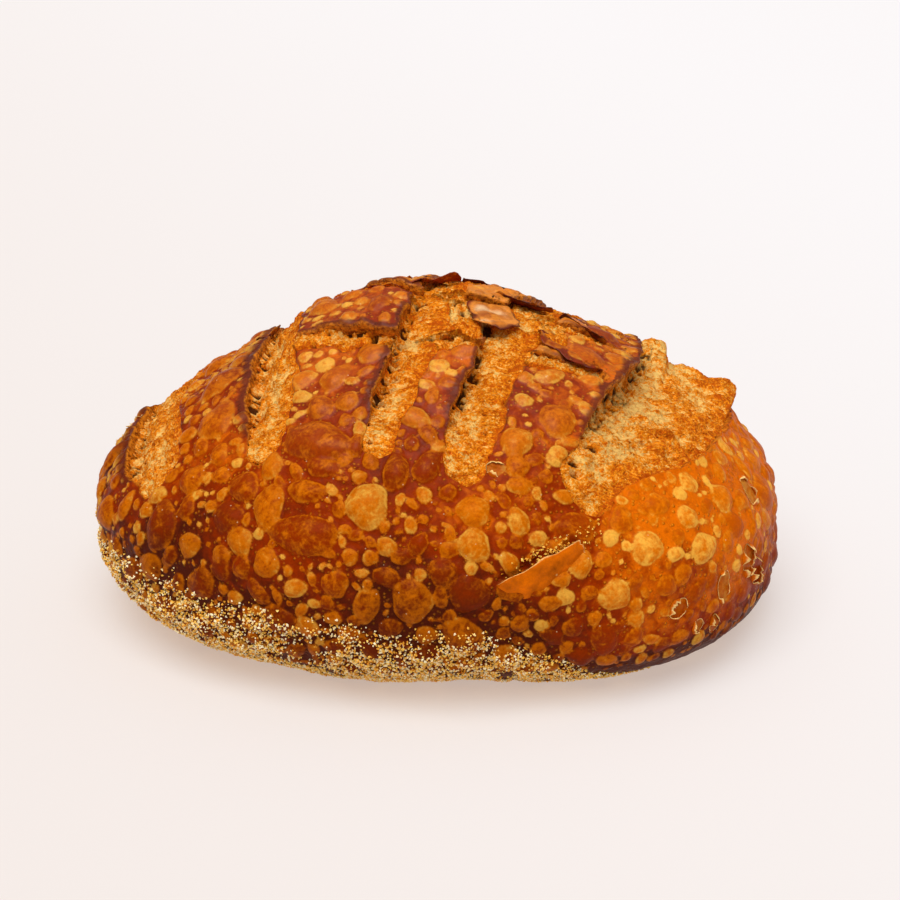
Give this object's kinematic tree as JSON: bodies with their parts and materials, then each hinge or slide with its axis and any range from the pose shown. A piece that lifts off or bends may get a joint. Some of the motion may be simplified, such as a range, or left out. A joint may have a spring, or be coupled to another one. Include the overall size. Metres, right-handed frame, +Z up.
{
  "type": "sourdough boule",
  "caption": "Free-standing sourdough loaf, round to slightly oval, with a domed blistered crust, cross-hatched scoring that opens to torn crumb, and cornmeal round its flat foot.",
  "frame": {"origin": "on the table under the middle of the loaf's bounding box, in the plane of its flat base", "axes": "+Z up, +X along the loaf towards the blunt end with the widest cut, +Y across it, away from the side that the picture shows"},
  "size_m": [0.2502, 0.1998, 0.1241],
  "materials": {
    "crust": "baked crust, satin, blistered"
  },
  "bodies": {
    "root": {"loaf": "crust"}
  },
  "joints": []
}
